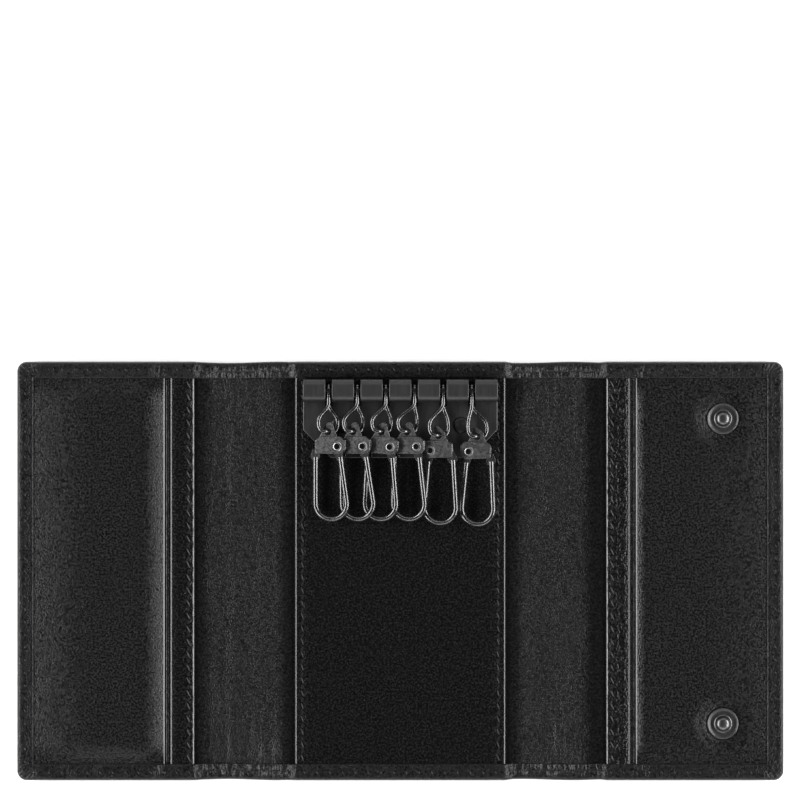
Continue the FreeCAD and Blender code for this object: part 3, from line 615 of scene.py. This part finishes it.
snap_metal = metal_finish("dark_nickel_plated_brass", "#525252", "#686868", rough=(0.30, 0.42),
                          grain=(0.3, 0.3, 0.3), scratch=0.35)
for row, (stud_x, stud_y) in zip(("upper", "lower"), studs):
    stud_bm = bmesh.new()
    outline = [stud_bm.verts.new(at(stud_x + radius, stud_y, height)) for radius, height in stud_profile]
    outline += [stud_bm.edges.new(pair) for pair in zip(outline, outline[1:])]
    bmesh.ops.spin(stud_bm, geom=outline, cent=at(stud_x, stud_y, 0.0), axis=(0, 0, 1), angle=2 * math.pi,
                   steps=stud_steps, use_merge=True, use_duplicate=False)
    bmesh.ops.remove_doubles(stud_bm, verts=stud_bm.verts[:], dist=2 * merge_within * mm)
    bmesh.ops.recalc_face_normals(stud_bm, faces=stud_bm.faces[:])
    stud = show(row + "_stud_pressed", stud_bm, [snap_metal])
    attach(stud, "right_flap")
    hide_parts(row + "_snap_stud")
    for part in ("snap_cap", "snap_socket", "socket_eyelet"):
        finish_metal(row + "_" + part, cap_edge, [snap_metal])


# Hook plate: sheet steel rolled over the rod along its upper edge and slotted into seven knuckles.
# Black-nickel plated with a satin brushed face, and riveted through the panel by two domed rivets.
plate_edge, rod_edge, rivet_edge, knuckle_bore = 0.18, 0.05, 0.08, 1.6
plate_metal = metal_finish("satin_black_nickel_steel", "#3f3f3f", "#4a4a4a", rough=(0.44, 0.54),
                           grain=(0.25, 6.0, 2.0), scratch=0.3)
rivet_metal = metal_finish("black_lacquered_rivet", "#303030", "#3c3c3c", rough=(0.38, 0.48),
                           grain=(0.7, 0.7, 0.7), scratch=0.2)
rod_middle = sum((Vector(corner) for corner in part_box("hook_rod")), Vector()) / 2


def plate_outline(edge):
    outside = any((vert.co - rod_middle).yz.length > knuckle_bore * mm for vert in edge.verts)
    return edge.is_convex and outside


finish_metal("hook_plate", plate_edge, [plate_metal], smooth_to=20, chosen=plate_outline)
finish_metal("hook_rod", rod_edge, [plate_metal])
for side in ("left", "right"):
    finish_metal(side + "_plate_rivet", rivet_edge, [rivet_metal])


# Key hooks: a wire link hung on the rod, a stamped housing on the link, and a wire loop on a tubular rivet.
# The wire is polished black nickel and the housings are tumbled; the rivets' turned lips are coloured
# brighter as a painted highlight ring.
housing_edge, pivot_edge, loop_edge = 0.15, 0.04, 0.06
lip_inset, lip_depth, lip_radius = 0.17, 0.1, 1.07
hook_metal = metal_finish("polished_black_nickel", "#525252", "#626262", rough=(0.22, 0.32),
                          grain=(0.5, 1.6, 0.5), scratch=0.06)
housing_metal = metal_finish("tumbled_black_nickel", "#242424", "#7a7a7a", rough=(0.25, 0.44),
                             grain=(0.4, 0.4, 0.4), scratch=0.9, cloud=0.9)
# A brighter nickel for the rivets: on the lip slope it is a painted highlight ring.
rivet_highlight_metal = metal_finish("rivet_lip_painted_highlight", "#8c8c8c", "#a0a0a0", rough=(0.36, 0.48),
                           grain=(0.4, 0.4, 0.4), scratch=0.2)


def turned_lip(bm):
    axis = max(bm.faces, key=lambda face: face.calc_area()).normal.copy()
    middle = sum((vert.co for vert in bm.verts), Vector()) / len(bm.verts)

    def along(face):
        return abs((face.calc_center_median() - middle).dot(axis))

    top = max(along(face) for face in bm.faces)
    ends = [face for face in bm.faces if abs(face.normal.dot(axis)) > 0.98 and along(face) > 0.95 * top]
    slopes = bmesh.ops.inset_region(bm, faces=ends, thickness=lip_inset * mm, depth=-lip_depth * mm,
                                    use_boundary=True, use_even_offset=True)["faces"]
    # The lip slope inside lip_radius keeps the first, brighter metal as a painted highlight ring; the end and
    # the outer slope take the housing metal.
    for face in ends + slopes:
        away = face.calc_center_median() - middle
        outward = (away - axis * away.dot(axis)).length
        face.material_index = int(face in ends or outward > lip_radius * mm)


def stamped_rim(edge):
    return edge.is_convex


for number in range(1, 7):
    hook = f"hook_{number}_"
    finish_metal(hook + "link", 0.0, [hook_metal])
    finish_metal(hook + "housing", housing_edge, [housing_metal], chosen=stamped_rim)
    finish_metal(hook + "rivet", pivot_edge, [rivet_highlight_metal, housing_metal], shape=turned_lip)
    finish_metal(hook + "loop", loop_edge, [hook_metal])


# Floor of white seamless paper, which the eye sees as an even white with no edge.
# Soft strip lights stand on all four sides, brightest left and right, and the camera looks straight down.
floor_half = 3.0
strip_away, strip_high, strip_long, strip_short = 0.78, 0.5, 1.1, 0.28
lens, sensor, view_width, view_level = 200.0, 36.0, 0.210, 0.004
floor_bm = bmesh.new()
bmesh.ops.create_grid(floor_bm, x_segments=4, y_segments=4, size=floor_half)
floor_paper, floor_shader = new_material("white_seamless_paper", Roughness=0.9)
floor_fibre = node(floor_paper, "TexNoise", {
    "Vector": node(floor_paper, "TexCoord").outputs["Object"], "Scale": 1 / (1.5 * mm), "Detail": 2.0})
floor_colour = node(floor_paper, "MixRGB", {
    "Fac": floor_fibre.outputs["Fac"], "Color1": tint("#f4f4f4"), "Color2": tint("#fafafa")})
plug_in(floor_paper, floor_shader, Base_Color=floor_colour.outputs["Color"])
floor = show("floor", floor_bm, [floor_paper])

strips = (("strip_left", -strip_away, 0.0, 15.0), ("strip_right", strip_away, 0.0, 15.0),
          ("strip_front", 0.0, -strip_away, 5.0), ("strip_back", 0.0, strip_away, 2.5))
for name, x, y, power in strips:
    strip = bpy.data.lights.new(name, "AREA")
    strip.shape = "RECTANGLE"
    strip.size, strip.size_y = (strip_short, strip_long) if x else (strip_long, strip_short)
    strip.energy = power
    holder = bpy.data.objects.new(name, strip)
    holder.location = (x, y, strip_high)
    holder.rotation_euler = (-math.atan2(y, strip_high), math.atan2(x, strip_high), 0.0)
    bpy.context.scene.collection.objects.link(holder)

world = bpy.data.worlds.new("dim_studio")
world.use_nodes = True
world.node_tree.nodes["Background"].inputs["Color"].default_value = (0.06, 0.06, 0.06, 1.0)
bpy.context.scene.world = world

camera = bpy.data.cameras.new("camera")
camera.lens, camera.sensor_width = lens, sensor
camera_holder = bpy.data.objects.new("camera", camera)
camera_holder.location = (-0.00008, 0.0449, view_level + view_width * lens / sensor)
bpy.context.scene.collection.objects.link(camera_holder)
bpy.context.scene.camera = camera_holder
bpy.context.scene.view_settings.view_transform = "Standard"
